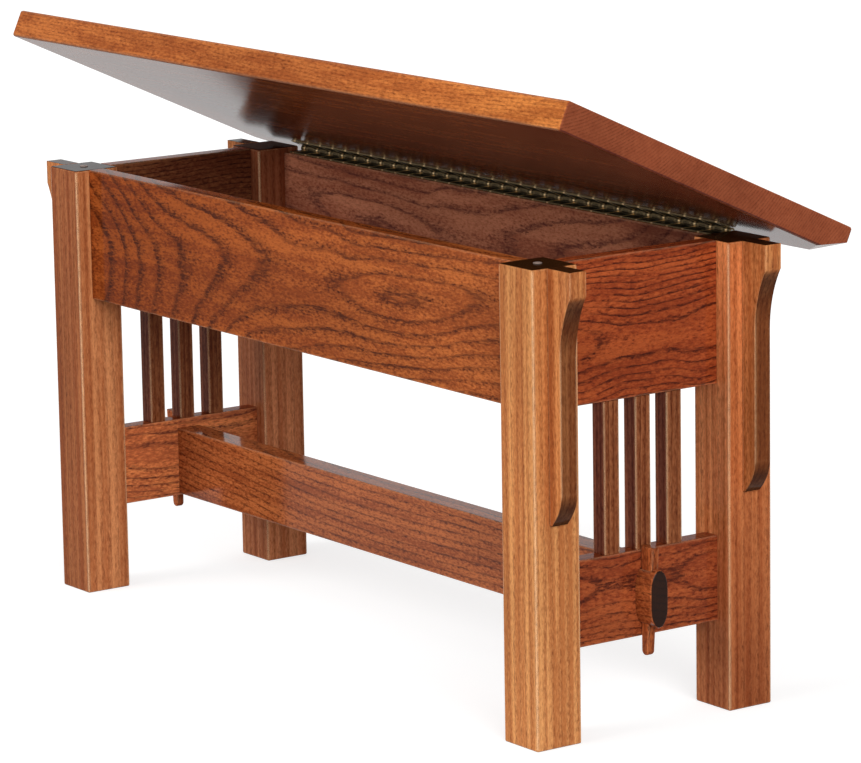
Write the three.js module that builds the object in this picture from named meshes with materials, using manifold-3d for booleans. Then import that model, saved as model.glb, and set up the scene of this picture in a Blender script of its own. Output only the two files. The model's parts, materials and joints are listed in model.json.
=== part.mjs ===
// A storage bench in oak: four square legs with corbels, a box of four aprons under a
// hinged lid, slatted ends, and a stretcher whose tenons are wedged through the end rails.
// Lengths are in millimetres. X runs along the bench, Y from its front to its back, Z up.

import * as THREE from 'three';
import { mergeVertices } from 'three/addons/utils/BufferGeometryUtils.js';
import Module from 'manifold-3d';

const wasm = await Module();
wasm.setup();

// Legs
const lengthOverLegs = 900;
const depthOverLegs = 299;
const legHeight = 482.6;
const legWidth = 55;
const legArris = 2;

// Aprons and end rails, all of one board
const boardThickness = 20;
const boardArris = 1;
const apronHeight = 145.8;
const frontSetback = 17;
const endSetback = 18.5;
const railRise = 91.9;
const railHeight = 88.7;

// Stub tenons that hold the boards in the legs
const tenonThickness = 10;
const tenonLength = 18;
const tenonShoulder = 14;

// Box floor, held in a groove of each apron
const floorThickness = 6;
const floorRise = 12;
const grooveDepth = 6;

// Slats of each end, with a stub tenon at either end of a slat
const slatCount = 3;
const slatWidth = 19;
const slatPitch = 39.5;
const slatTenonWidth = 9;
const slatTenonLength = 10;

// Stretcher and its through tenons
const stretcherThickness = 29;
const stretcherRise = 93.6;
const stretcherHeight = 76.7;
const throughTenonThickness = 22;
const throughTenonHeight = 59.7;
const throughTenonShoulder = 9.9;
const throughTenonReach = 25;
const throughTenonCapRise = 20;
const throughTenonArris = 2.5;
const throughTenonSteps = 5;

// Wedge that draws each through tenon tight
const wedgeLength = 112.5;
const wedgeThickness = 9;
const wedgeTopWidth = 19;
const wedgeFootWidth = 10.5;
const wedgeDrop = 19.4;
const wedgeArris = 2.2;
const wedgeRelief = 2;

// Corbels
const corbelThickness = 20;
const corbelReach = 37;
const corbelNoseHeight = 25;
const corbelNeckReach = 20;
const corbelNeckDrop = 88;
const corbelLength = 256;
const corbelTaperLength = 34;
const corbelToeReach = 3.8;
const corbelArris = 1;

// Lid
const lidThickness = 30.8;
const lidArris = 3;
const lidEndOverhang = 58;
const lidFrontOverhang = 42.2;
const lidRearOverhang = 48.6;
const lidRise = 1.5;
const lidOpenDegrees = 24.43;
const facetAlongEdge = 54;
const facetAlongEnd = 38;
const facetHeight = 15.2;

// Continuous hinge, cut to an odd number of knuckles between the rear legs
const hingeEndClearance = 2;
const knuckleLength = 12.7;
const knuckleGap = 0.4;
const barrelRadius = 3.45;
const leafThickness = 1.5;
const leafWidth = 19;
const pinRadius = 1.7;
const pinClearance = 0.1;
const axisBehindLegs = 1.5;
const barrelSteps = 5;

// Bumpers under the front of the lid
const bumperRadius = 4.5;
const bumperEdgeShare = 0.5;
const bumperCrownShare = 0.7;
const bumperSides = 16;
const bumperLidGap = 0.2;

// Clearance between a piece and the one that holds it, and how far a cut runs past a face
const seatGap = 0.3;
const cutOverrun = 5;

// The easing of a bar's ends, as a share of the easing of its long edges
const endArrisShare = 0.85;

// Finishes
const oakColours = {
  leg: 0xb06a3a,
  apron: 0xa9602f,
  rail: 0xa65c30,
  slat: 0x8a4a2a,
  corbel: 0x8f5230,
  lid: 0xbb7439,
  floor: 0x7a4a2c,
};
const brassColour = 0x9c8146;
const pinColour = 0xa9a397;
const bumperColour = 0x4a3a30;

// Places worked out from the sizes above
const halfLength = lengthOverLegs / 2;
const halfDepth = depthOverLegs / 2;
const legX = halfLength - legWidth / 2;
const legY = halfDepth - legWidth / 2;
const endBoardX = halfLength - endSetback - boardThickness / 2;
const frontApronY = -(halfDepth - frontSetback - boardThickness / 2);
const rearApronY = halfDepth - boardThickness / 2;
const apronBase = legHeight - apronHeight;
const hingeOffset = barrelRadius + seatGap;
const rearApronDrop = 2 * hingeOffset - lidRise;
const rearApronHeight = apronHeight - rearApronDrop;
const longBoardLength = lengthOverLegs - 2 * legWidth - 2 * seatGap;
const endBoardLength = depthOverLegs - 2 * legWidth - 2 * seatGap;
const railOuterX = endBoardX + boardThickness / 2;
const railInnerX = endBoardX - boardThickness / 2;
const hingeY = halfDepth + axisBehindLegs;
const hingeZ = legHeight + lidRise - hingeOffset;
const hingeRoom = lengthOverLegs - 2 * legWidth - 2 * hingeEndClearance;
const knuckleCount = 2 * Math.floor((hingeRoom / knuckleLength - 1) / 2) + 1;
const hingeLength = knuckleCount * knuckleLength;
const lidLength = lengthOverLegs + 2 * lidEndOverhang;
const lidFrontReach = depthOverLegs + axisBehindLegs + lidFrontOverhang;
const lidRearReach = lidRearOverhang - axisBehindLegs;
const throughTenonBase = stretcherRise + throughTenonShoulder;
const wedgeBase = railRise - wedgeDrop;

const axisX = new THREE.Vector3(1, 0, 0);
const axisY = new THREE.Vector3(0, 1, 0);
const axisZ = new THREE.Vector3(0, 0, 1);

// Turns an outline drawn in Y and Z so that its bar runs along X
const alongX = new THREE.Matrix4().makeBasis(axisY, axisZ, axisX);

// Turns an outline drawn in X and Z so that its bar runs along Y
const alongY = new THREE.Matrix4().makeBasis(axisX, axisZ, axisY.clone().negate());

function solidOf(geometry) {
  const bare = geometry.clone();
  bare.deleteAttribute('normal');
  bare.deleteAttribute('uv');
  const merged = mergeVertices(bare);
  const vertProperties = new Float32Array(merged.attributes.position.array);
  const triVerts = new Uint32Array(merged.index.array);
  return new wasm.Manifold(new wasm.Mesh({ numProp: 3, vertProperties, triVerts }));
}

function geometryOf(solid) {
  const { vertProperties, triVerts } = solid.getMesh();
  const geometry = new THREE.BufferGeometry();
  geometry.setAttribute('position', new THREE.BufferAttribute(vertProperties, 3));
  geometry.setIndex(new THREE.BufferAttribute(triVerts, 1));
  geometry.computeVertexNormals();
  return geometry;
}

function join(first, ...others) {
  return others.reduce((whole, other) => whole.add(solidOf(other)), solidOf(first));
}

function cut(solid, tools) {
  return tools.reduce((rest, tool) => rest.subtract(solidOf(tool)), solid);
}

// A box between two values along each axis, in either order
function block(spanX, spanY, spanZ) {
  const spans = [spanX, spanY, spanZ];
  const sizes = spans.map(([start, end]) => Math.abs(end - start));
  const centres = spans.map(([start, end]) => (start + end) / 2);
  return new THREE.BoxGeometry(...sizes).translate(...centres);
}

// The span that reaches the same distance to both sides of a centre
function around(centre, reach) {
  return [centre - reach, centre + reach];
}

// A rectangle about the origin with rounded corners
function easedRectangle(width, height, radius) {
  const x = width / 2 - radius;
  const y = height / 2 - radius;
  const quarter = Math.PI / 2;
  const outline = new THREE.Shape();
  outline.absarc(x, -y, radius, -quarter, 0, false);
  outline.absarc(x, y, radius, 0, quarter, false);
  outline.absarc(-x, y, radius, quarter, 2 * quarter, false);
  outline.absarc(-x, -y, radius, 2 * quarter, 3 * quarter, false);
  outline.closePath();
  return outline;
}

// A bar of one outline, its length centred on the origin. Its ends are eased a little less
// than its long edges.
function bar(outline, length, arris = 0, steps = 1) {
  const ease = arris * endArrisShare;
  const geometry = new THREE.ExtrudeGeometry(outline, {
    depth: length - 2 * ease,
    bevelEnabled: ease > 0,
    bevelThickness: ease,
    bevelSize: ease,
    bevelOffset: -ease,
    bevelSegments: steps + 1,
    curveSegments: steps,
  });
  return geometry.translate(0, 0, ease - length / 2);
}

// A board along X with a stub tenon at each end, centred on the origin
function tenonedBoard(length, height) {
  const section = easedRectangle(boardThickness, height, boardArris);
  const board = bar(section, length).applyMatrix4(alongX);
  const tenons = block(
    around(0, length / 2 + tenonLength),
    around(0, tenonThickness / 2),
    around(0, height / 2 - tenonShoulder),
  );
  return join(board, tenons);
}

// The groove for the box floor in a board that is centred on the origin
function floorGroove(length, height, innerSide) {
  const low = floorRise - height / 2;
  return block(
    around(0, length / 2),
    [innerSide * (boardThickness / 2 - grooveDepth), innerSide * (boardThickness / 2 + cutOverrun)],
    [low - seatGap, low + floorThickness + seatGap],
  );
}

// The mortises for the slats, in the upper or lower edge of a board centred on the origin
function slatMortises(height, edge) {
  return slatPlaces().map((place) => block(
    around(place, slatTenonWidth / 2 + seatGap),
    around(0, slatTenonWidth / 2 + seatGap),
    [edge * (height / 2 - slatTenonLength), edge * (height / 2 + cutOverrun)],
  ));
}

function slatPlaces() {
  return Array.from({ length: slatCount }, (_, index) => (index - (slatCount - 1) / 2) * slatPitch);
}

function longApron(height, innerSide) {
  const board = tenonedBoard(longBoardLength, height);
  return cut(board, [floorGroove(longBoardLength, height, innerSide)]);
}

function endApron(innerSide) {
  const board = tenonedBoard(endBoardLength, apronHeight);
  const groove = floorGroove(endBoardLength, apronHeight, innerSide);
  return cut(board, [groove, ...slatMortises(apronHeight, -1)]);
}

// A through tenon's section, with a half ellipse above and below, larger all round by a gap
function throughSection(gap) {
  const reach = throughTenonThickness / 2 + gap;
  const capBase = throughTenonHeight / 2 - throughTenonCapRise;
  const outline = new THREE.Shape();
  outline.absellipse(0, capBase, reach, throughTenonCapRise + gap, 0, Math.PI, false);
  outline.absellipse(0, -capBase, reach, throughTenonCapRise + gap, Math.PI, 2 * Math.PI, false);
  outline.closePath();
  return outline;
}

function endRail() {
  const board = tenonedBoard(endBoardLength, railHeight);
  const low = throughTenonBase - railRise - railHeight / 2;
  const opening = bar(throughSection(seatGap), boardThickness + 2 * cutOverrun, 0, throughTenonSteps);
  opening.applyMatrix4(alongY).translate(0, 0, low + throughTenonHeight / 2);
  return cut(board, [opening, ...slatMortises(railHeight, 1)]);
}

// A leg whose foot is on the origin, mortised for an end apron, an end rail and a long apron.
// The side is 1 at the right end, and the face is -1 at the front.
function leg(side, face) {
  const section = easedRectangle(legWidth, legWidth, legArris);
  const post = solidOf(bar(section, legHeight, legArris).translate(0, 0, legHeight / 2));
  const half = legWidth / 2;
  const depthSpan = [half + cutOverrun, half - tenonLength];
  const widthReach = tenonThickness / 2 + seatGap;
  const heightSpan = (base, height) => [
    base + tenonShoulder - seatGap,
    base + height - tenonShoulder + seatGap,
  ];
  const endPlace = side * (half - endSetback - boardThickness / 2);
  const endMortise = (base, height) => block(
    around(endPlace, widthReach),
    depthSpan.map((depth) => -face * depth),
    heightSpan(base, height),
  );
  const longSetback = face < 0 ? frontSetback : 0;
  const longHeight = face < 0 ? apronHeight : rearApronHeight;
  const longMortise = block(
    depthSpan.map((depth) => -side * depth),
    around(face * (half - longSetback - boardThickness / 2), widthReach),
    heightSpan(apronBase, longHeight),
  );
  const mortises = [endMortise(apronBase, apronHeight), endMortise(railRise, railHeight), longMortise];
  return cut(post, mortises);
}

// A slat with its middle on the origin, between the rail below and the apron above
function slat() {
  const length = apronBase - railRise - railHeight - 2 * seatGap;
  const tenonReach = slatTenonWidth / 2;
  const stick = bar(easedRectangle(slatWidth, slatWidth, boardArris), length);
  const tenons = block(
    around(0, tenonReach),
    around(0, tenonReach),
    around(0, length / 2 + slatTenonLength - seatGap),
  );
  return join(stick, tenons);
}

// The wedge's width at a height above its foot
function wedgeWidthAt(height) {
  const footRadius = wedgeFootWidth / 2;
  const slope = (wedgeTopWidth - wedgeFootWidth) / (wedgeLength - footRadius);
  return wedgeFootWidth + slope * (height - footRadius);
}

// A wedge with its straight edge on the Z axis and its rounded foot on the ground
function wedge() {
  const footRadius = wedgeFootWidth / 2;
  const outline = new THREE.Shape();
  outline.moveTo(0, wedgeLength);
  outline.lineTo(0, footRadius);
  outline.absarc(footRadius, footRadius, footRadius, Math.PI, 2 * Math.PI, false);
  outline.lineTo(wedgeTopWidth, wedgeLength);
  outline.closePath();
  return bar(outline, wedgeThickness, wedgeArris, 4).applyMatrix4(alongY);
}

// The slot that a wedge passes through, in the same place as the wedge
function wedgeSlot() {
  const low = throughTenonBase - wedgeBase - cutOverrun;
  const high = low + throughTenonHeight + 2 * cutOverrun;
  const outline = new THREE.Shape();
  outline.moveTo(-wedgeRelief, low);
  outline.lineTo(wedgeWidthAt(low) + seatGap, low);
  outline.lineTo(wedgeWidthAt(high) + seatGap, high);
  outline.lineTo(-wedgeRelief, high);
  outline.closePath();
  return bar(outline, wedgeThickness + 2 * seatGap).applyMatrix4(alongY);
}

// The stretcher, at its height, with a tenon at each end that runs out through the end rail
function stretcher() {
  const bodyLength = 2 * (railInnerX - seatGap);
  const tenonSpan = 2 * (railOuterX + throughTenonReach);
  const section = easedRectangle(stretcherThickness, stretcherHeight, boardArris);
  const body = bar(section, bodyLength).applyMatrix4(alongX);
  body.translate(0, 0, stretcherRise + stretcherHeight / 2);
  const tenon = bar(throughSection(0), tenonSpan, throughTenonArris, throughTenonSteps);
  tenon.applyMatrix4(alongX).translate(0, 0, throughTenonBase + throughTenonHeight / 2);
  const rightSlot = wedgeSlot().translate(railOuterX + seatGap, 0, wedgeBase);
  const leftSlot = rightSlot.clone().rotateZ(Math.PI);
  return cut(join(body, tenon), [rightSlot, leftSlot]);
}

// A corbel against the plane X = 0, hanging down from the origin
function corbel() {
  const rise = corbelNeckDrop - corbelNoseHeight;
  const swell = corbelReach - corbelNeckReach;
  const hollowRadius = (swell * swell + rise * rise) / (2 * swell);
  const hollowX = corbelNeckReach + hollowRadius;
  const turn = Math.asin(rise / hollowRadius);
  const taperTop = corbelTaperLength - corbelLength;
  const outline = new THREE.Shape();
  outline.moveTo(0, 0);
  outline.lineTo(0, -corbelLength);
  outline.lineTo(corbelToeReach, -corbelLength);
  outline.quadraticCurveTo(corbelNeckReach, taperTop - corbelTaperLength / 2, corbelNeckReach, taperTop);
  outline.lineTo(corbelNeckReach, -corbelNeckDrop);
  outline.absarc(hollowX, -corbelNeckDrop, hollowRadius, Math.PI, Math.PI - turn, true);
  outline.lineTo(corbelReach, 0);
  outline.closePath();
  return bar(outline, corbelThickness, corbelArris, 5).applyMatrix4(alongY);
}

// The box floor, notched round the four legs
function boxFloor() {
  const endX = railInnerX + grooveDepth - seatGap;
  const frontY = frontApronY + boardThickness / 2 - grooveDepth + seatGap;
  const rearY = rearApronY - boardThickness / 2 + grooveDepth - seatGap;
  const notchX = halfLength - legWidth - seatGap;
  const notchY = halfDepth - legWidth - seatGap;
  const outline = new THREE.Shape();
  outline.moveTo(-notchX, frontY);
  outline.lineTo(notchX, frontY);
  outline.lineTo(notchX, -notchY);
  outline.lineTo(endX, -notchY);
  outline.lineTo(endX, notchY);
  outline.lineTo(notchX, notchY);
  outline.lineTo(notchX, rearY);
  outline.lineTo(-notchX, rearY);
  outline.lineTo(-notchX, notchY);
  outline.lineTo(-endX, notchY);
  outline.lineTo(-endX, -notchY);
  outline.lineTo(-notchX, -notchY);
  outline.closePath();
  return bar(outline, floorThickness);
}

// The lid, centred on the origin, with a triangular facet under each rear corner
function lidPanel() {
  const depth = lidFrontReach + lidRearReach;
  const section = easedRectangle(depth, lidThickness, lidArris);
  const slab = solidOf(bar(section, lidLength, lidArris, 2).applyMatrix4(alongX));
  const cutterSize = 2 * (facetAlongEdge + facetAlongEnd);
  const facets = [-1, 1].map((side) => {
    const normal = new THREE.Vector3(side / facetAlongEdge, 1 / facetAlongEnd, -1 / facetHeight).normalize();
    const turn = new THREE.Quaternion().setFromUnitVectors(axisZ, normal);
    const cutter = new THREE.BoxGeometry(cutterSize, cutterSize, cutterSize);
    cutter.translate(0, 0, cutterSize / 2);
    cutter.applyQuaternion(turn);
    return cutter.translate(side * (lidLength / 2 - facetAlongEdge), depth / 2, -lidThickness / 2);
  });
  return cut(slab, facets);
}

// A leaf of the hinge about its axis, with its knuckles at the even or the odd places.
// The leaf lies forward of the axis, with its outer face down.
function hingeLeaf(firstPlace) {
  const rootY = Math.sqrt(barrelRadius ** 2 - (barrelRadius - leafThickness) ** 2);
  const rootAngle = Math.atan2(leafThickness - barrelRadius, -rootY);
  const outline = new THREE.Shape();
  outline.moveTo(-leafWidth, -barrelRadius);
  outline.lineTo(0, -barrelRadius);
  outline.absarc(0, 0, barrelRadius, -Math.PI / 2, rootAngle + 2 * Math.PI, false);
  outline.lineTo(-leafWidth, leafThickness - barrelRadius);
  outline.closePath();
  const bore = new THREE.Path();
  const boreRadius = (pinRadius + pinClearance) / Math.cos(Math.PI / (2 * barrelSteps));
  bore.absarc(0, 0, boreRadius, 0, 2 * Math.PI, false);
  outline.holes.push(bore);
  const strip = solidOf(bar(outline, hingeLength, 0, barrelSteps).applyMatrix4(alongX));
  const notches = [];
  for (let place = 1 - firstPlace; place < knuckleCount; place += 2) {
    const centre = (place - (knuckleCount - 1) / 2) * knuckleLength;
    notches.push(block(
      around(centre, (knuckleLength + knuckleGap) / 2),
      [-barrelRadius - seatGap, barrelRadius + cutOverrun],
      around(0, barrelRadius + cutOverrun),
    ));
  }
  return cut(strip, notches);
}

function hingePin() {
  return new THREE.CylinderGeometry(pinRadius, pinRadius, hingeLength, 2 * barrelSteps).rotateZ(Math.PI / 2);
}

// A low disc with a crowned top, standing on the origin
function bumper() {
  const height = lidRise - seatGap - bumperLidGap;
  const profile = [
    new THREE.Vector2(0, 0),
    new THREE.Vector2(bumperRadius, 0),
    new THREE.Vector2(bumperRadius, height * bumperEdgeShare),
    new THREE.Vector2(bumperRadius * bumperCrownShare, height),
    new THREE.Vector2(0, height),
  ];
  return new THREE.LatheGeometry(profile, bumperSides).rotateX(Math.PI / 2);
}

function oak(colour) {
  return new THREE.MeshStandardMaterial({ color: colour, roughness: 0.35, metalness: 0 });
}

function metal(colour) {
  return new THREE.MeshStandardMaterial({ color: colour, roughness: 0.3, metalness: 1 });
}

function rubber() {
  return new THREE.MeshStandardMaterial({ color: bumperColour, roughness: 0.7, metalness: 0 });
}

function piece(name, shape, material, x, y, z) {
  const geometry = shape instanceof THREE.BufferGeometry ? shape : geometryOf(shape);
  const mesh = new THREE.Mesh(geometry, material);
  mesh.name = name;
  mesh.position.set(x, y, z);
  return mesh;
}

function turned(mesh, angle) {
  mesh.rotation.z = angle;
  return mesh;
}

const ends = [['left', -1], ['right', 1]];
const faces = [['front', -1], ['rear', 1]];

function legsWithCorbels() {
  return ends.flatMap(([end, side]) => faces.flatMap(([front, face]) => {
    const outwards = side > 0 ? 0 : Math.PI;
    const corbelX = side * (halfLength + seatGap);
    return [
      piece(`leg_${front}_${end}`, leg(side, face), oak(oakColours.leg), side * legX, face * legY, 0),
      turned(
        piece(`corbel_${front}_${end}`, corbel(), oak(oakColours.corbel), corbelX, face * legY, legHeight),
        outwards,
      ),
    ];
  }));
}

function boxSides() {
  const middle = apronBase + apronHeight / 2;
  const rearMiddle = apronBase + rearApronHeight / 2;
  const endAprons = ends.map(([end, side]) => turned(
    piece(`end_apron_${end}`, endApron(side), oak(oakColours.apron), side * endBoardX, 0, middle),
    Math.PI / 2,
  ));
  return [
    piece('front_apron', longApron(apronHeight, 1), oak(oakColours.apron), 0, frontApronY, middle),
    piece('rear_apron', longApron(rearApronHeight, -1), oak(oakColours.apron), 0, rearApronY, rearMiddle),
    ...endAprons,
    piece('box_floor', boxFloor(), oak(oakColours.floor), 0, 0, apronBase + floorRise + floorThickness / 2),
  ];
}

function slattedEnds() {
  const slatMiddle = (railRise + railHeight + apronBase) / 2;
  const railMiddle = railRise + railHeight / 2;
  return ends.flatMap(([end, side]) => {
    const x = side * endBoardX;
    const rail = turned(piece(`end_rail_${end}`, endRail(), oak(oakColours.rail), x, 0, railMiddle), Math.PI / 2);
    const slats = slatPlaces().map((place, index) => (
      piece(`slat_${end}_${index + 1}`, slat(), oak(oakColours.slat), x, place, slatMiddle)
    ));
    return [rail, ...slats];
  });
}

function wedgedStretcher() {
  const wedges = ends.map(([end, side]) => turned(
    piece(`tusk_wedge_${end}`, wedge(), oak(oakColours.rail), side * (railOuterX + seatGap), 0, wedgeBase),
    side > 0 ? 0 : Math.PI,
  ));
  return [piece('stretcher', stretcher(), oak(oakColours.rail), 0, 0, 0), ...wedges];
}

function bumpers() {
  return ends.map(([end, side]) => (
    piece(`bumper_front_${end}`, bumper(), rubber(), side * legX, -legY, legHeight + seatGap)
  ));
}

// The hinge's axis is the origin of the lid's group, and the lid stands open
function openLid() {
  const lid = new THREE.Group();
  lid.position.set(0, hingeY, hingeZ);
  lid.rotation.x = -THREE.MathUtils.degToRad(lidOpenDegrees);
  const panelY = (lidRearReach - lidFrontReach) / 2;
  const panel = piece('lid', lidPanel(), oak(oakColours.lid), 0, panelY, hingeOffset + lidThickness / 2);
  const upperLeaf = geometryOf(hingeLeaf(1)).rotateX(Math.PI).rotateZ(Math.PI);
  lid.add(panel, piece('hinge_leaf_lid', upperLeaf, metal(brassColour), 0, 0, 0));
  return lid;
}

function fixedHinge() {
  return [
    piece('hinge_leaf_apron', hingeLeaf(0), metal(brassColour), 0, hingeY, hingeZ),
    piece('hinge_pin', hingePin(), metal(pinColour), 0, hingeY, hingeZ),
  ];
}

const bench = new THREE.Group();
bench.add(
  ...legsWithCorbels(),
  ...boxSides(),
  ...slattedEnds(),
  ...wedgedStretcher(),
  ...bumpers(),
  ...fixedHinge(),
  openLid(),
);

// The origin is on the floor, under the middle of the open bench
const outerBox = new THREE.Box3().setFromObject(bench, true);
bench.position.y = -(outerBox.min.y + outerBox.max.y) / 2;

export default bench;
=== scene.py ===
"""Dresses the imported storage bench: oak, an aged brass hinge with its screws, a plain studio."""

import json
import math

import bmesh
import bpy
from mathutils import Matrix, Vector

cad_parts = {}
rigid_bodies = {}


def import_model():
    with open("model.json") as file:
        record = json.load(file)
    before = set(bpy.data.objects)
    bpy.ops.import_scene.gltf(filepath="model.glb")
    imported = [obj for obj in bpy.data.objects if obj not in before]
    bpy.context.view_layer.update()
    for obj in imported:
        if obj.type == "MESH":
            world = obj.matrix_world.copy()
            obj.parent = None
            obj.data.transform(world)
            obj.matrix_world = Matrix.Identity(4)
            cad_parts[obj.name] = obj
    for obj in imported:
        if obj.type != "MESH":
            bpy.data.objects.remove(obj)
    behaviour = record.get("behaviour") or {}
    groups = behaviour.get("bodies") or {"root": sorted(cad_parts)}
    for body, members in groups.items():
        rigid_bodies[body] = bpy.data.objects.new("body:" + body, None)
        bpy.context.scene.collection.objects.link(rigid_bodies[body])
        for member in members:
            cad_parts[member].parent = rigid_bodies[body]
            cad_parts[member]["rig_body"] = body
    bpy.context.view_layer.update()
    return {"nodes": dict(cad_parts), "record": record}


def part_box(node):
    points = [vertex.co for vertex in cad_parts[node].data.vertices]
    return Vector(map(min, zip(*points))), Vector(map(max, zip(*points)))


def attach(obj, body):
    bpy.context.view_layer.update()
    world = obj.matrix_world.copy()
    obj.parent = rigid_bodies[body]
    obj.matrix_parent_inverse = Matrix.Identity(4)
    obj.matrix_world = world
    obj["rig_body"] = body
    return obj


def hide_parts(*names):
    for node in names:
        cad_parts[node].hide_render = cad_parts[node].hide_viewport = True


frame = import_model()

# The camera, as fitted to the corners of the photographed bench. Its aim is an offset to
# the camera's right and up from the point midway between the legs on the floor. Angles are
# in radians, lengths in metres and the sensor's width in millimetres.
PHOTO_WIDTH = 861
SENSOR_WIDTH = 36.0
CAMERA_AZIMUTH = 0.95177875
CAMERA_PITCH = 0.19627152
CAMERA_ROLL = -0.01647386
CAMERA_DISTANCE = 4.9486
CAMERA_AIM_RIGHT = 0.0397763
CAMERA_AIM_UP = 0.27925934
CAMERA_FOCAL_PIXELS = 4572.7
CAMERA_FAR = 100.0

# Studio: what the camera and reflections see of the floor, what the floor and the world
# give to the bench, and the lamps, each with the direction that it comes from and its
# level, which is what a white surface facing it would show
FLOOR_HALF = 60.0
FLOOR_SEEN = (0.55, 0.55, 0.55)
FLOOR_GLOW = 0.68
FLOOR_BOUNCE = (0.42, 0.41, 0.40)
WORLD_SEEN = 1.0
WORLD_FILL = 0.55
SUN_SPREAD = math.radians(35)
SUNS = {
    "key": ((-0.15, -0.85, 0.45), 0.45),
    "fill": ((0.90, -0.30, 0.35), 0.60),
}

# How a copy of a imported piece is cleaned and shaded, in metres and radians
WELD = 2e-6
FLAT_ANGLE = math.radians(0.5)
CREASE_ANGLE = math.radians(50)

# Arrises, paler where they are rubbed and, on the oak, also where a highlight is painted on them:
# how far that reaches, in metres, how fast it comes in where a face bends, and how fast it goes
# where an arris runs across the grain
ARRIS_RADIUS = 0.0030
ARRIS_SAMPLES = 4
ARRIS_GAIN = 10.0
ARRIS_LOSS_ACROSS = 8.0

# Stained oak, as colours in linear light: the paler and the darker wood, the lines of the
# growth rings and the pores
STAINS = {
    "leg": ((0.72, 0.300, 0.105), (0.46, 0.145, 0.044), (0.25, 0.062, 0.019), (0.13, 0.030, 0.010)),
    "board": ((0.41, 0.108, 0.030), (0.24, 0.052, 0.0145), (0.082, 0.018, 0.0075),
              (0.050, 0.011, 0.005)),
    "red": ((0.38, 0.082, 0.023), (0.235, 0.041, 0.0125), (0.060, 0.011, 0.006),
            (0.045, 0.009, 0.005)),
    "lid": ((0.54, 0.180, 0.054), (0.34, 0.094, 0.027), (0.16, 0.038, 0.012), (0.09, 0.021, 0.008)),
}
# The colour of the arrises: paler rubbed wood, and a painted highlight
ARRIS_WORN_AND_HIGHLIT = (0.97, 0.64, 0.37)
WHITE = (1.0, 1.0, 1.0)

# The two axes across the grain and the one along it, for each axis of the grain
GRAIN_AXES = {"X": (1, 2, 0), "Y": (0, 2, 1), "Z": (0, 1, 2)}

# Noises in the oak: how often each comes across and along the grain, in a metre, unless
# the piece says so, what it adds to the piece's seed, its detail and its roughness
OAK_NOISES = {
    "ripple": ((90.0, 22.0), 1.0, 2.0, 0.5),
    "broad": ((22.0, 5.0), 2.0, 1.0, 0.5),
    "streaks": (None, 3.0, 2.0, 0.6),
    "speckle": ((760.0, 150.0), 4.0, 2.0, 0.7),
    "patches": ((16.0, 4.0), 5.0, 2.0, 0.5),
    "broken": ((420.0, 55.0), 6.0, 1.0, 0.5),
    "coarse": ((460.0, 190.0), 7.0, 2.0, 0.6),
    "faint": ((26.0, 9.0), 8.0, 1.0, 0.5),
}
# Marks made of these noises: the noise, and two places on its scale, each with a grey
OAK_MARKS = {
    "streaks": ("streaks", ((0.38, 0.0), (0.62, 1.0))),
    "glints": ("coarse", ((0.40, 0.0), (0.62, 1.0))),
    "flecks": ("speckle", ((0.40, 1.0), (0.56, 0.0))),
    "specks": ("coarse", ((0.34, 1.0), (0.44, 0.0))),
    "patches": ("patches", ((0.30, 0.76), (0.70, 1.0))),
    "broken": ("broken", ((0.34, 0.2), (0.58, 1.0))),
    "faint": ("faint", ((0.34, 0.55), (0.55, 1.0))),
}
# How far noises shift the line of a growth ring, as shares of the rings' spacing, and the
# detail of the noise that makes whole rings wander
LINE_SHIFTS = {"coarse": 0.50, "broad": 0.50, "ripple": 0.30}
WANDER_DETAIL = 1.5
# A line's strength at places behind it, in its own widths, and just before the next line
LINE_PROFILE = ((0.0, 1.0), (0.45, 1.0), (1.0, 0.50), (2.0, 0.0))
LINE_RISE = ((0.95, 0.0), (1.0, 1.0))
# Shares of the marks in the oak's colour. The pores are sparser between the lines.
STREAK_SHARE = 0.9
SPECK_SHARE = 0.45
FLECK_SHARE = 0.30
PORES_BETWEEN_LINES = 0.7
PORES_ADDED_IN_LINES = 0.8
# End grain: how much of its marks it loses, how much paler it is and how strong its lines are
END_CALM = 0.7
END_PALE = 0.33
END_LINE = 0.55
# How far a face turns towards an axis, either way or one way, as its tint comes in
ACROSS_STOPS = ((0.55, 0.0), (0.85, 1.0))
TOWARDS_STOPS = ((0.04, 0.0), (0.40, 1.0))
# The least paleness of the arrises (rubbed wood and a painted highlight), the least roughness, and
# what the speckle adds to each
WEAR_AND_HIGHLIGHT_LEAST, WEAR_AND_HIGHLIGHT_SPECKLE = 0.40, 0.9
OAK_ROUGHNESS, ROUGHNESS_SPECKLE = 0.40, 0.25
PORE_BUMP = (0.18, 0.0003)

# Flat-sawn figure of the front apron. Places are metres along the board from its middle.
# The first curve counts the growth rings along the figure's centre line, the second
# places that line above the board's middle, and the others give the spacing of the
# rings above it and below it.
APRON_REACH = 0.400
APRON_RINGS = ((-0.400, 0.0), (-0.354, 1.0), (-0.294, 3.0), (-0.206, 5.0), (-0.126, 6.0),
               (-0.052, 6.9), (0.035, 7.35), (0.095, 7.0), (0.195, 6.08), (0.270, 6.4),
               (0.326, 7.0), (0.400, 7.5))
APRON_CENTRE = ((-0.400, -0.004), (-0.294, -0.012), (-0.206, -0.003), (-0.126, 0.009),
                (-0.052, 0.014), (0.035, 0.008), (0.195, 0.010), (0.326, 0.024), (0.400, 0.032))
APRON_ABOVE = ((-0.400, 0.0195), (-0.120, 0.0200), (0.035, 0.0200), (0.120, 0.0130),
               (0.200, 0.0112), (0.300, 0.0120), (0.400, 0.0145))
APRON_BELOW = ((-0.400, 0.060), (-0.240, 0.046), (-0.180, 0.035), (-0.120, 0.024),
               (0.000, 0.0200), (0.120, 0.0130), (0.200, 0.0112), (0.300, 0.0120),
               (0.400, 0.0145))
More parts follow.
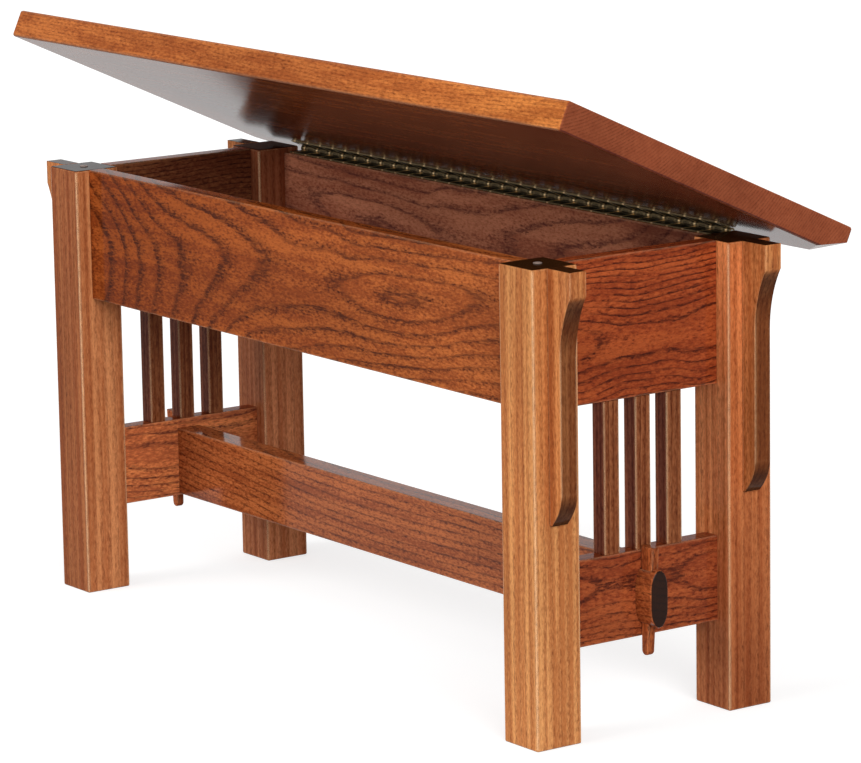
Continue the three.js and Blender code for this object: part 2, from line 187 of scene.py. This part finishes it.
# How many rings the arches' tips are rounded over, and how many lie inwards in a metre
APRON_ROUNDING = 1.6
APRON_INWARD = 60.0

# How often the rings wander across and along the grain, in a metre: usually, and in the
# boards of the ends
SWAY = (6.0, 1.6)
END_SWAY = (9.0, 8.0)

# The oak of each piece: what stands under the first word of its node, and then what stands
# under the node itself. A figure gives what pith_rings takes, with the pith's place from
# the middle of the piece's box, or what apron_rings takes. The rest is what oak takes.
WOODS = {
    # The legs' tops are nearly black: end grain that takes more stain, and painted shade under the
    # lid
    "leg": dict(
        grain="Z", stain="leg", figure=dict(pith=(-0.11, 0.10), ring=0.0058, wander=0.003),
        line=0.4, thin=0.3, streak=(115.0, 1.6), grit=0.35, wear_and_highlight=1.0, end=0.06),
    # The front left leg: its faces across X lightened, painted light on that side
    "leg_front_left": dict(tint=(0.71, 0.59, 0.60), faces=[("X", (1.48, 1.72, 1.90))]),
    # The front right leg: lighter and yellower towards its foot, painted light
    "leg_front_right": dict(
        tint=(1.23, 1.26, 1.20), faces=[("X", (1.02, 1.02, 1.04))],
        painted_light_fade=((0.05, (1.10, 1.18, 1.26)), (0.35, WHITE))),
    # The rear left leg: its faces across X lightened, painted light; its top darkened, painted
    # shade under the lid
    "leg_rear_left": dict(
        tint=(0.96, 0.89, 1.10), faces=[("X", (1.20, 1.20, 1.20))],
        painted_light_fade=((0.345, WHITE), (0.37, (0.58, 0.50, 0.52)))),
    # The rear right leg: its faces across X darkened, painted shade; darker at the foot and lighter
    # at the top, painted shade and painted light
    "leg_rear_right": dict(
        tint=(1.50, 1.40, 1.48), faces=[("X", (0.78, 0.69, 0.64))],
        painted_light_fade=((0.05, (0.64, 0.58, 0.60)), (0.42, (1.22, 1.20, 1.17)))),
    # The corbels: edge faces across X, below the flat top, darker, partly end grain that takes more
    # stain and partly painted shade; faces turned down darkened, painted shade in the hollow
    "corbel": dict(
        grain="Z", stain="leg", figure=dict(pith=(-0.06, 0.12), ring=0.0055, wander=0.003),
        tint=(1.15, 1.08, 1.02), line=0.4, thin=0.3, streak=(115.0, 1.6), grit=0.4, wear_and_highlight=0.5,
        end=0.09,
        faces=[("X", (0.40, 0.36, 0.36), 0.456, 0.444), ("-Z", (0.42, 0.42, 0.47))]),
    "slat": dict(
        grain="Z", stain="leg", figure=dict(pith=(-0.05, 0.05), ring=0.0042, wander=0.003),
        tint=(0.54, 0.45, 0.49), line=1.0, thin=0.34, streak=(190.0, 2.0), grit=0.6, wear_and_highlight=0.8,
        faces=[("Y", (1.00, 0.88, 1.12))]),
    # The tusk: its faces across X darkened, painted shade on its far side
    "tusk": dict(
        grain="Z", stain="board", figure=dict(pith=(-0.05, 0.04), ring=0.004, wander=0.002),
        tint=(2.2, 2.3, 2.4), line=0.4, streak=(200.0, 3.0), wear_and_highlight=0.4,
        faces=[("X", (0.50, 0.45, 0.45))]),
    "end": dict(grain="Y", stain="red"),
    # The left end apron: its inner face, turned to +X, darker and greyer, painted shade inside the
    # box
    "end_apron_left": dict(
        figure=dict(pith=(-0.045, -0.015), ring=0.0042, wander=0.010, sway=END_SWAY),
        tint=(1.36, 1.30, 1.24), line=0.95, thin=0.18, faces=[("+X", (0.55, 0.88, 1.30))]),
    "end_apron_right": dict(
        figure=dict(pith=(-0.045, -0.015), ring=0.0044, wander=0.017, sway=END_SWAY),
        tint=(1.36, 1.30, 1.24), line=1.0, thin=0.21),
    # The left end rail: its inner face, turned to +X, lightened, painted light where the bench's
    # own shadow falls
    "end_rail_left": dict(
        figure=dict(pith=(-0.04, 0.01), ring=0.0042, wander=0.010, sway=END_SWAY),
        tint=(1.50, 1.60, 1.60), line=0.9, thin=0.18, faces=[("+X", (1.59, 2.22, 2.56))]),
    "end_rail_right": dict(
        figure=dict(pith=(-0.04, 0.01), ring=0.0042, wander=0.010, sway=END_SWAY),
        tint=(1.28, 1.38, 1.50), line=0.95, thin=0.18),
    # The stretcher: lighter towards its right-hand tenon, painted light; its tenon end nearly
    # black, partly end grain and partly painted shade
    "stretcher": dict(
        grain="X", stain="board",
        figure=dict(pith=(0.03, 0.09), ring=0.0075, wander=0.010, sway=(6.0, 2.5),
                    bow=(0.10, 0.13)),
        tint=(1.42, 1.50, 1.55), line=0.9, thin=0.17, end=0.04,
        painted_light_fade=((0.415, WHITE), (0.445, (1.40, 1.40, 1.40))), film=1.2),
    # The front apron: darker and more orange at the left, lighter at the right, painted light; a
    # narrow strip of its front face at the left end lightened and greyed, a painted reflection of
    # the pale room
    "front_apron": dict(
        grain="X", stain="board", figure=dict(turned=False),
        tint=(0.98, 0.95, 0.82), line=1.0, thin=0.225,
        faces=[("-Y", (1.18, 1.36, 2.20), -0.362, -0.372)],
        painted_light_fade=((-0.35, (0.90, 0.72, 0.38)), (0.35, (1.56, 1.68, 1.66)))),
    # The rear apron: its inner face, turned to -Y, darker and greyer, painted shade inside the box,
    # darkest at its right-hand end
    "rear_apron": dict(
        grain="X", stain="board", figure=dict(turned=True),
        tint=(1.28, 1.20, 1.15), line=0.8, thin=0.2, grit=0.6,
        faces=[("-Y", (1.09, 1.62, 3.25)), ("-Y", (0.54, 0.52, 0.55), 0.235, 0.29)]),
    "box_floor": dict(
        grain="X", stain="board", figure=dict(pith=(0.0, -0.12), ring=0.0080, wander=0.02),
        line=0.7, thin=0.2, grit=0.5),
    # The lid: its underside darkened, more so towards the right end, painted shade; its front and
    # back edges lighter towards the right end
    "lid": dict(
        grain="X", stain="lid", figure=dict(pith=(-0.20, 0.28), ring=0.0033, wander=0.022),
        tint=(1.26, 1.14, 0.93), line=0.28, thin=0.25, streak=(90.0, 10.0), grit=0.6, wear_and_highlight=0.3,
        end=0.60,
        faces=[("-Z", (0.62, 0.60, 0.80)), ("-Z", (0.74, 0.68, 0.84), 0.20, 0.50),
               ("X", (1.02, 0.92, 1.62)), ("Y", (1.30, 1.44, 1.32), 0.12, 0.46)],
        gloss=0.95, haze=0.17),
}
SEED_START = 20.0
SEED_STEP = 7.3

# Hinge: its axis, how far the lid stands open, and its screws with a crossed recess, in
# metres and radians. A screw's profile gives radius and height, from its rim inwards.
HINGE_Y = 0.126647
HINGE_Z = 0.48035
LID_OPEN = math.radians(24.43)
KNUCKLE_PAIR = 0.0254
LEAF_FACE = 0.00195
SCREW_PITCH = 0.0508
SCREW_END_MARGIN = 0.019
SCREW_BACK = 0.012
SCREW_TWIST = 0.7
SCREW_STEPS = 24
SCREW_PROFILE = ((0.00255, -0.0004), (0.00255, 0.00006), (0.00235, 0.00022), (0.00150, 0.00030))
CROSS_WAIST = 0.28
CROSS_FOOT = 0.8
CROSS_DEPTH = 0.0006

# Metals: the bright colour, the tarnish, the roughness and the seed, and for the hinge the
# length of a pair of knuckles
METALS = {
    "brass": ((0.92, 0.66, 0.34), (0.012, 0.011, 0.007), 0.28, 5.0, KNUCKLE_PAIR),
    "hinge_pin": ((0.62, 0.60, 0.56), (0.30, 0.28, 0.25), 0.25, 6.0),
    "screw_brass": ((0.72, 0.56, 0.28), (0.10, 0.07, 0.03), 0.25, 9.0),
}
# How often tarnish and scratches come along X, Y and Z, in a metre, their detail and the
# roughness of the tarnish
TARNISH_OFTEN = (160, 260, 260)
TARNISH_DETAIL = 3.0
TARNISH_ROUGHNESS = 0.6
TARNISH_STOPS = ((0.38, 0.0), (0.62, 1.0))
SCRATCH_OFTEN = (300, 2600, 2600)
SCRATCH_DETAIL = 2.0
# Where in a pair of knuckles the bright one lies, rubbed brass and a painted highlight, and the
# tarnish of the other: the least, and what its patches add
RUBBED_AND_HIGHLIT_KNUCKLE = ((0.42, 0.0), (0.48, 1.0), (0.54, 1.0), (0.60, 0.0))
KNUCKLE_TARNISH, KNUCKLE_PATCHES = 0.94, 0.06
METAL_WEAR = 0.3
TARNISH_DULLS = 0.18
SCRATCHES_DULL = 0.12
SCRATCH_BUMP = (0.15, 0.0001)

# Rubber of the bumpers
RUBBER_OFTEN = (1800, 1800, 1800)
RUBBER_SEED = 3.0
RUBBER_DETAIL = 2.0
RUBBER_STOPS = ((0.3, 0.0), (0.7, 1.0))
RUBBER_DARK = (0.26, 0.18, 0.15)
RUBBER_LIGHT = (0.42, 0.33, 0.29)
RUBBER_ROUGHNESS = 0.45
RUBBER_BUMP = (0.3, 0.0001)


class Shader:
    """The nodes of a material or of the world. An input takes a node's output or a plain value."""

    def __init__(self, owner):
        owner.use_nodes = True
        self.owner = owner
        self.tree = owner.node_tree
        self.tree.nodes.clear()

    def node(self, kind, inputs, **properties):
        node = self.tree.nodes.new(kind)
        for key, value in properties.items():
            setattr(node, key, value)
        for key, value in inputs.items():
            self.fill(node.inputs[key], value)
        return node

    def fill(self, socket, value):
        if isinstance(value, bpy.types.NodeSocket):
            self.tree.links.new(value, socket)
        elif hasattr(value, "__len__") and len(value) == 3 and socket.type == "RGBA":
            socket.default_value = (*value, 1.0)
        else:
            socket.default_value = value

    def math(self, operation, *values, clamp=False):
        inputs = dict(enumerate(values))
        return self.node("ShaderNodeMath", inputs, operation=operation, use_clamp=clamp).outputs[0]

    def scaled(self, value, by, plus, clamp=False):
        return self.math("MULTIPLY_ADD", value, by, plus, clamp=clamp)

    def centred(self, noise):
        return self.math("SUBTRACT", noise, 0.5)

    def split(self, vector):
        return self.node("ShaderNodeSeparateXYZ", {"Vector": vector}).outputs

    def grained(self, place, often):
        """A place, as two values across the grain and one along it, scaled for a noise.

        Often is how often the noise comes across and along the grain, in a metre.
        """
        scales = (often[0], often[0], often[1])
        x, y, z = [self.math("MULTIPLY", value, scale) for value, scale in zip(place, scales)]
        return self.node("ShaderNodeCombineXYZ", {"X": x, "Y": y, "Z": z}).outputs[0]

    def mapped(self, place, often):
        """A place scaled for a noise that comes so often along X, Y and Z, in a metre."""
        return self.node("ShaderNodeMapping", {"Vector": place, "Scale": often}).outputs[0]

    def noise(self, place, seed, detail=2.0, roughness=0.5):
        inputs = {"Vector": place, "W": seed, "Scale": 1.0}
        inputs.update({"Detail": detail, "Roughness": roughness})
        return self.node("ShaderNodeTexNoise", inputs, noise_dimensions="4D").outputs[0]

    def ramp(self, share, stops):
        """A colour ramp through stops, each a place and a grey."""
        node = self.node("ShaderNodeValToRGB", {"Fac": share})
        elements = node.color_ramp.elements
        while len(elements) < len(stops):
            elements.new(1.0)
        for element, (place, grey) in zip(elements, stops):
            element.position = place
            element.color = (grey, grey, grey, 1.0)
        return node.outputs[0]

    def mix(self, share, first, second, mode="MIX"):
        inputs = {0: share, 6: first, 7: second}
        return self.node("ShaderNodeMix", inputs, data_type="RGBA", blend_type=mode).outputs[2]

    def tinted(self, colour, tint):
        return self.mix(1.0, colour, tint, "MULTIPLY")

    def curve(self, value, points, reach):
        """A smooth function through points, each a place, at most reach from 0, and its value."""
        low = min(height for _, height in points)
        high = max(height for _, height in points)
        span = high - low
        share = self.scaled(value, 0.5 / reach, 0.5, clamp=True)
        node = self.node("ShaderNodeFloatCurve", {"Value": share})
        curve = node.mapping.curves[0]
        while len(curve.points) < len(points):
            curve.points.new(0.5, 0.5)
        for point, (place, height) in zip(curve.points, points):
            point.location = (0.5 + 0.5 * place / reach, (height - low) / span)
        node.mapping.update()
        return self.scaled(node.outputs[0], span, low)

    def bump(self, height, look, invert=False):
        """The normal of a relief. Its look is a strength and a depth in metres."""
        inputs = {"Strength": look[0], "Distance": look[1], "Height": height}
        return self.node("ShaderNodeBump", inputs, invert=invert).outputs[0]

    def seen(self):
        """1 for what is seen, in a mirror or through glass too, and 0 for what lights the scene."""
        path = self.node("ShaderNodeLightPath", {}).outputs
        beyond = self.math("MAXIMUM", path["Is Glossy Ray"], path["Is Transmission Ray"])
        return self.math("MAXIMUM", path["Is Camera Ray"], beyond)

    def principled(self, inputs):
        shader = self.node("ShaderNodeBsdfPrincipled", inputs)
        self.node("ShaderNodeOutputMaterial", {"Surface": shader.outputs[0]})
        return self.owner


def edge_wear_and_highlight(shader, grain=None):
    """How near a point lies to an arris, from 0 on the flat to 1.

    With a grain, only the arrises along it count.
    """
    bevel = shader.node("ShaderNodeBevel", {"Radius": ARRIS_RADIUS}, samples=ARRIS_SAMPLES)
    rounded = bevel.outputs[0]
    face = shader.node("ShaderNodeNewGeometry", {}).outputs["True Normal"]
    likeness = shader.node("ShaderNodeVectorMath", {0: rounded, 1: face}, operation="DOT_PRODUCT")
    wear_and_highlight = shader.scaled(likeness.outputs["Value"], -ARRIS_GAIN, ARRIS_GAIN, clamp=True)
    if grain is None:
        return wear_and_highlight
    lengthwise = shader.math("ABSOLUTE", shader.split(rounded)["XYZ".index(grain)])
    kept = shader.scaled(lengthwise, -ARRIS_LOSS_ACROSS, 1.0, clamp=True)
    return shader.math("MULTIPLY", wear_and_highlight, kept)


def pith_rings(pith, ring, wander, seed, sway=SWAY, bow=None):
    """Rings about a pith, at a place across the grain, that wander along the board.

    Ring is their spacing and wander how far they go astray, in metres, and sway how often
    they do across and along the grain. A bow bends the pith up to both sides of a place
    along the grain, and gives that place and how sharply.
    """
    def rings(shader, place):
        a, b, along = place
        if bow:
            aside = shader.math("SUBTRACT", along, bow[0])
            b = shader.scaled(shader.math("MULTIPLY", aside, aside), -bow[1], b)
        off_pith = [shader.math("SUBTRACT", value, centre) for value, centre in zip((a, b), pith)]
        squares = [shader.math("MULTIPLY", value, value) for value in off_pith]
        radius = shader.math("SQRT", shader.math("ADD", *squares))
        noise = shader.noise(shader.grained((a, b, along), sway), seed, WANDER_DETAIL)
        strayed = shader.scaled(shader.centred(noise), 2.0 * wander, radius)
        return shader.math("DIVIDE", strayed, ring)
    return rings


def apron_rings(middle, face, turned):
    """The front apron's arches and its closed eye, or the same figure turned end for end.

    The middle is a height, and the face a depth.
    """
    def rings(shader, place):
        depth, height, along = place
        if turned:
            along = shader.math("MULTIPLY", along, -1.0)
        centre = shader.curve(along, APRON_CENTRE, APRON_REACH)
        rise = shader.math("SUBTRACT", shader.math("SUBTRACT", height, middle), centre)
        above = shader.curve(along, APRON_ABOVE, APRON_REACH)
        below = shader.curve(along, APRON_BELOW, APRON_REACH)
        upper = shader.math("DIVIDE", shader.math("MAXIMUM", rise, 0.0), above)
        lower = shader.math("DIVIDE", shader.math("MINIMUM", rise, 0.0), below)
        steps = shader.math("ADD", upper, lower)
        square = shader.scaled(steps, steps, APRON_ROUNDING ** 2)
        across = shader.math("SUBTRACT", shader.math("SQRT", square), APRON_ROUNDING)
        along_rings = shader.curve(along, APRON_RINGS, APRON_REACH)
        inward = shader.math("MULTIPLY", shader.math("SUBTRACT", depth, face), APRON_INWARD)
        return shader.math("ADD", shader.math("ADD", across, along_rings), inward)
    return rings


def oak(name, grain, rings, seed, stain, tint=WHITE, line=0.8, thin=0.22, streak=(60.0, 6.0),
        grit=0.95, wear_and_highlight=0.2, end=0.5, faces=(), painted_light_fade=None, gloss=1.0, film=1.1, haze=0.12):
    """Oak with its grain along one axis. Rings builds their count, which is whole at each line.

    Tint is the piece's own shade and line the strength of its rings, each thin as a share of
    their spacing. Streak gives how often paler wood comes across and along the grain, in a
    metre, and grit is the contrast of the fine flecks. The arrises' strength gives how pale
    they are, partly rubbed wood and partly a painted highlight, and end the shade of the end
    grain. Faces lists an axis and the tint of the faces across it, or with a sign the tint of all
    that is turned that way, and the places along the grain between which it comes in, where it
    isn't everywhere; most of these tints are painted light and painted shade on one side of the
    piece. The fade gives two places along the grain, each with its tint: painted light and shade
    along the piece. Gloss is how much of the lacquer is left, film its refractive index and haze
    its roughness.
    """
    shader = Shader(bpy.data.materials.new(name))
    coordinates = shader.node("ShaderNodeTexCoord", {}).outputs
    position = shader.split(coordinates["Object"])
    facing = shader.split(coordinates["Normal"])
    place = [position[axis] for axis in GRAIN_AXES[grain]]

    def across(axis):
        """How far a face is turned towards an axis, either way unless the axis has a sign."""
        towards = facing["XYZ".index(axis[-1])]
        if len(axis) == 1:
            return shader.ramp(shader.math("ABSOLUTE", towards), ACROSS_STOPS)
        turn = shader.math("MULTIPLY", towards, -1.0 if axis[0] == "-" else 1.0)
        return shader.ramp(turn, TOWARDS_STOPS)

    def travelled(start, stop):
        """How far a point lies from one place along the grain to another, from 0 to 1."""
        reach = stop - start
        return shader.scaled(place[-1], 1.0 / reach, -start / reach, clamp=True)

    noises = {}
    for source, (often, added_seed, detail, roughness) in OAK_NOISES.items():
        scaled_place = shader.grained(place, often or streak)
        noises[source] = shader.noise(scaled_place, seed + added_seed, detail, roughness)
    marks = {mark: shader.ramp(noises[source], stops)
             for mark, (source, stops) in OAK_MARKS.items()}
    cut_end = across(grain)
    calm = shader.scaled(cut_end, -END_CALM, 1.0)

    count = rings(shader, place)
    for source, shift in LINE_SHIFTS.items():
        count = shader.scaled(shader.centred(noises[source]), shift, count)
    profile = [(width * thin, level) for width, level in LINE_PROFILE] + list(LINE_RISE)
    line_share = shader.ramp(shader.math("FRACT", count), profile)

    pale, ground, dark, pore = STAINS[stain]
    streaked = shader.math("MULTIPLY", marks["streaks"], STREAK_SHARE)
    varied = shader.scaled(shader.centred(marks["glints"]), grit, streaked)
    paleness = shader.scaled(varied, calm, shader.math("MULTIPLY", cut_end, END_PALE))
    wood = shader.mix(paleness, ground, pale)
    own_line = shader.scaled(cut_end, END_LINE - line, line)
    strength = shader.math("MULTIPLY", marks["faint"], own_line)
    drawn = shader.math("MULTIPLY", shader.math("MULTIPLY", line_share, marks["broken"]), strength)
    lined = shader.mix(drawn, wood, dark)
    flecked = shader.math("MULTIPLY", marks["flecks"], FLECK_SHARE)
    dots = shader.scaled(marks["specks"], SPECK_SHARE * grit, flecked)
    pore_level = shader.scaled(line_share, PORES_ADDED_IN_LINES, PORES_BETWEEN_LINES)
    pore_share = shader.math("MULTIPLY", dots, pore_level, clamp=True)
    colour = shader.mix(shader.math("MULTIPLY", pore_share, calm), lined, pore)

    colour = shader.tinted(shader.tinted(colour, tint), marks["patches"])
    # The fade along the piece: painted light and painted shade
    if painted_light_fade:
        (start, first), (stop, last) = painted_light_fade
        colour = shader.tinted(colour, shader.mix(travelled(start, stop), first, last))
    colour = shader.tinted(colour, shader.mix(cut_end, WHITE, (end, end, end)))
    # Tints of faces turned one way: mostly painted light and painted shade on one side of a piece
    for axis, face_tone_and_painted_light, *reach in faces:
        share = across(axis)
        if reach:
            share = shader.math("MULTIPLY", share, travelled(*reach))
        colour = shader.tinted(colour, shader.mix(share, WHITE, face_tone_and_painted_light))
    # Paler arrises: rubbed wood, and a painted highlight
    uneven = shader.scaled(noises["speckle"], WEAR_AND_HIGHLIGHT_SPECKLE, WEAR_AND_HIGHLIGHT_LEAST)
    rubbed_and_highlit = shader.math("MULTIPLY", edge_wear_and_highlight(shader, grain), uneven, clamp=True)
    colour = shader.mix(shader.math("MULTIPLY", rubbed_and_highlit, wear_and_highlight), colour, ARRIS_WORN_AND_HIGHLIT)

    return shader.principled({
        "Base Color": colour,
        "Roughness": shader.scaled(noises["speckle"], ROUGHNESS_SPECKLE, OAK_ROUGHNESS),
        "Normal": shader.bump(pore_share, PORE_BUMP, invert=True),
        "Specular IOR Level": 0.0,
        "Coat Weight": gloss,
        "Coat IOR": film,
        "Coat Roughness": haze,
    })


def metal(name, colour, dark, roughness, seed, pitch=None):
    """Aged metal: tarnish in patches, brushed lightly, brighter where it is rubbed.

    Pitch is the length of a pair of knuckles, where every other one is rubbed bright and carries a
    painted highlight.
    """
    shader = Shader(bpy.data.materials.new(name))
    place = shader.node("ShaderNodeTexCoord", {}).outputs["Object"]
    patches = shader.noise(shader.mapped(place, TARNISH_OFTEN), seed, TARNISH_DETAIL,
                           TARNISH_ROUGHNESS)
    scratches = shader.noise(shader.mapped(place, SCRATCH_OFTEN), seed + 1.0, SCRATCH_DETAIL)
    tarnish = shader.ramp(patches, TARNISH_STOPS)
    if pitch:
        step = shader.math("FRACT", shader.scaled(shader.split(place)[0], 1.0 / pitch, 0.5))
        # Every other knuckle bright: rubbed brass, and a painted highlight
        knuckle_rubbed_and_highlit = shader.ramp(step, RUBBED_AND_HIGHLIT_KNUCKLE)
        tarnish = shader.scaled(tarnish, KNUCKLE_PATCHES, KNUCKLE_TARNISH)
        tarnish = shader.math("SUBTRACT", tarnish, knuckle_rubbed_and_highlit, clamp=True)
    aged = shader.mix(tarnish, colour, dark)
    rubbed_and_highlit = shader.math("MULTIPLY", edge_wear_and_highlight(shader), METAL_WEAR)
    brushed = shader.scaled(scratches, SCRATCHES_DULL, roughness)
    return shader.principled({
        "Base Color": shader.mix(rubbed_and_highlit, aged, colour),
        "Metallic": 1.0,
        "Roughness": shader.scaled(tarnish, TARNISH_DULLS, brushed),
        "Normal": shader.bump(scratches, SCRATCH_BUMP),
    })


def rubber(name):
    """Matt bumper with a fine moulded grain."""
    shader = Shader(bpy.data.materials.new(name))
    place = shader.node("ShaderNodeTexCoord", {}).outputs["Object"]
    grains = shader.noise(shader.mapped(place, RUBBER_OFTEN), RUBBER_SEED, RUBBER_DETAIL)
    return shader.principled({
        "Base Color": shader.mix(shader.ramp(grains, RUBBER_STOPS), RUBBER_DARK, RUBBER_LIGHT),
        "Roughness": RUBBER_ROUGHNESS,
        "Normal": shader.bump(grains, RUBBER_BUMP),
    })


def wood_finish(node, seed):
    """The oak of a piece, placed from the piece's own box, or nothing for another material."""
    wood = {**WOODS.get(node.split("_")[0], {}), **WOODS.get(node, {})}
    if not wood:
        return None
    low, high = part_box(node)
    middle = (low + high) / 2
    figure = wood.pop("figure")
    if "pith" in figure:
        across = GRAIN_AXES[wood["grain"]][:2]
        pith = [middle[axis] + offset for axis, offset in zip(across, figure["pith"])]
        rings = pith_rings(**{**figure, "pith": pith}, seed=seed)
    else:
        rings = apron_rings(middle.z, low.y, **figure)
    return oak(f"oak.{node}", rings=rings, seed=seed, **wood)


def add_object(name, data):
    """A new object in the scene."""
    added = bpy.data.objects.new(name, data)
    bpy.context.scene.collection.objects.link(added)
    return added


def smooth_copy(node):
    """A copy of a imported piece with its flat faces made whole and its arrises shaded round."""
    source = frame["nodes"][node]
    mesh = bpy.data.meshes.new(f"{node}.dressed")
    work = bmesh.new()
    work.from_mesh(source.data)
    bmesh.ops.remove_doubles(work, verts=work.verts, dist=WELD)
    bmesh.ops.dissolve_limit(work, angle_limit=FLAT_ANGLE, verts=work.verts, edges=work.edges)
    for face in work.faces:
        face.smooth = True
    for edge in work.edges:
        edge.smooth = edge.calc_face_angle(0.0) < CREASE_ANGLE
    work.to_mesh(mesh)
    work.free()
    piece = add_object(f"{node}.dressed", mesh)
    weighted = piece.modifiers.new("weighted normals", "WEIGHTED_NORMAL")
    weighted.keep_sharp = True
    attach(piece, source["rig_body"])
    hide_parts(node)
    return piece


def dress_nodes():
    """Shows each node through its smooth copy, each wooden one in oak of its own."""
    slots = {part["node"]: part["material_slot"] for part in frame["record"]["subparts"]}
    others = {slot: metal(slot, *METALS[slot]) for slot in ("brass", "hinge_pin")}
    others["bumper"] = rubber("bumper")
    for number, node in enumerate(sorted(frame["nodes"])):
        slot = slots[node]
        piece = smooth_copy(node)
        finish = wood_finish(node, SEED_START + SEED_STEP * number) or others[slot]
        piece.data.materials.append(finish)


def screw_head(material):
    """A countersunk head with a crossed recess, its face up and the leaf's face at Z = 0."""
    work = bmesh.new()
    rings = []
    for radius, height in SCREW_PROFILE:
        turns = [2 * math.pi * step / SCREW_STEPS for step in range(SCREW_STEPS)]
        rings.append([work.verts.new((radius * math.cos(turn), radius * math.sin(turn), height))
                      for turn in turns])
    inner = rings[-1]
    floor = []
    for vert in inner:
        x, y, z = vert.co
        floor.append(work.verts.new((x * CROSS_FOOT, y * CROSS_FOOT, z - CROSS_DEPTH)))
    for lower, upper in zip(rings, rings[1:]):
        for step in range(SCREW_STEPS):
            after = (step + 1) % SCREW_STEPS
            work.faces.new((lower[step], lower[after], upper[after], upper[step]))
    for step in range(SCREW_STEPS):
        after = (step + 1) % SCREW_STEPS
        work.faces.new((inner[step], inner[after], floor[after], floor[step]))
    arm_spacing = SCREW_STEPS // 4
    for step in range(SCREW_STEPS):
        if step % arm_spacing:
            for vert in (inner[step], floor[step]):
                vert.co.x *= CROSS_WAIST
                vert.co.y *= CROSS_WAIST
    work.faces.new(floor)
    work.faces.new(list(reversed(rings[0])))
    bmesh.ops.recalc_face_normals(work, faces=work.faces)
    mesh = bpy.data.meshes.new("hinge_screw")
    work.to_mesh(mesh)
    work.free()
    mesh.materials.append(material)
    return mesh


def make_screws():
    """The screws of both hinge leaves. The lid's are set with the lid shut and then swung open."""
    head = screw_head(metal("screw_brass", *METALS["screw_brass"]))
    low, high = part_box("hinge_leaf_apron")
    count = int((high.x - low.x - 2 * SCREW_END_MARGIN) / SCREW_PITCH) + 1
    axis = Vector((0.0, HINGE_Y, HINGE_Z))
    open_up = Matrix.Rotation(-LID_OPEN, 4, "X")
    swing = Matrix.Translation(axis) @ open_up @ Matrix.Translation(-axis)
    face_down = Matrix.Rotation(math.pi, 4, "X")
    y = HINGE_Y - SCREW_BACK
    for number in range(count):
        x = (number - (count - 1) / 2) * SCREW_PITCH
        twist = Matrix.Rotation(SCREW_TWIST * number, 4, "Z")
        apron_place = Matrix.Translation((x, y, HINGE_Z - LEAF_FACE))
        lid_place = swing @ (Matrix.Translation((x, y, HINGE_Z + LEAF_FACE)) @ face_down)
        for side, place, body in (("apron", apron_place, "frame"), ("lid", lid_place, "lid_panel")):
            screw = add_object(f"hinge_screw.{side}.{number + 1}", head)
            screw.matrix_world = place @ twist
            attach(screw, body)


def make_floor():
    """A pale floor that is seen white and gives little light to the bench."""
    shader = Shader(bpy.data.materials.new("studio_floor"))
    seen = shader.seen()
    colour = shader.mix(seen, FLOOR_BOUNCE, FLOOR_SEEN)
    strength = shader.math("MULTIPLY", seen, FLOOR_GLOW)
    diffuse = shader.node("ShaderNodeBsdfDiffuse", {"Color": colour})
    glow = shader.node("ShaderNodeEmission", {"Strength": strength})
    both = shader.node("ShaderNodeAddShader", {0: diffuse.outputs[0], 1: glow.outputs[0]})
    shader.node("ShaderNodeOutputMaterial", {"Surface": both.outputs[0]})
    mesh = bpy.data.meshes.new("floor")
    corners = [(-FLOOR_HALF, -FLOOR_HALF, 0), (FLOOR_HALF, -FLOOR_HALF, 0),
               (FLOOR_HALF, FLOOR_HALF, 0), (-FLOOR_HALF, FLOOR_HALF, 0)]
    mesh.from_pydata(corners, [], [(0, 1, 2, 3)])
    mesh.materials.append(shader.owner)
    floor = add_object("floor", mesh)


def make_world():
    """A world that is seen brighter than it lights."""
    world = bpy.data.worlds.new("studio")
    shader = Shader(world)
    levels = {"Value": shader.seen(), "To Min": WORLD_FILL, "To Max": WORLD_SEEN}
    strength = shader.node("ShaderNodeMapRange", levels).outputs["Result"]
    background = shader.node("ShaderNodeBackground", {"Strength": strength})
    shader.node("ShaderNodeOutputWorld", {"Surface": background.outputs[0]})
    bpy.context.scene.world = world


def make_suns():
    """Soft distant lamps."""
    for name, (towards, level) in SUNS.items():
        lamp = bpy.data.lights.new(name, "SUN")
        lamp.energy = level * math.pi
        lamp.angle = SUN_SPREAD
        holder = add_object(name, lamp)
        holder.rotation_euler = Vector(towards).to_track_quat("Z", "Y").to_euler()


def centre_of(node):
    low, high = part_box(node)
    return (low + high) / 2


def make_camera():
    """The photograph's camera."""
    level = math.cos(CAMERA_PITCH)
    back = Vector((math.sin(CAMERA_AZIMUTH) * level, -math.cos(CAMERA_AZIMUTH) * level,
                   math.sin(CAMERA_PITCH)))
    right = Vector((math.cos(CAMERA_AZIMUTH), math.sin(CAMERA_AZIMUTH), 0.0))
    up = back.cross(right)
    front_leg, rear_leg = centre_of("leg_front_left"), centre_of("leg_rear_left")
    aim = Vector((0.0, (front_leg.y + rear_leg.y) / 2, 0.0))
    aim += right * CAMERA_AIM_RIGHT + up * CAMERA_AIM_UP
    turn = Matrix((right, up, back)).transposed() @ Matrix.Rotation(CAMERA_ROLL, 3, "Z")
    camera = bpy.data.cameras.new("camera")
    camera.sensor_width = SENSOR_WIDTH
    camera.lens = CAMERA_FOCAL_PIXELS * SENSOR_WIDTH / PHOTO_WIDTH
    camera.clip_end = CAMERA_FAR
    holder = add_object("camera", camera)
    holder.matrix_world = Matrix.Translation(aim + back * CAMERA_DISTANCE) @ turn.to_4x4()
    bpy.context.scene.camera = holder


bpy.context.scene.view_settings.view_transform = "Standard"
make_camera()
make_floor()
make_world()
make_suns()
dress_nodes()
make_screws()

bpy.context.view_layer.update()
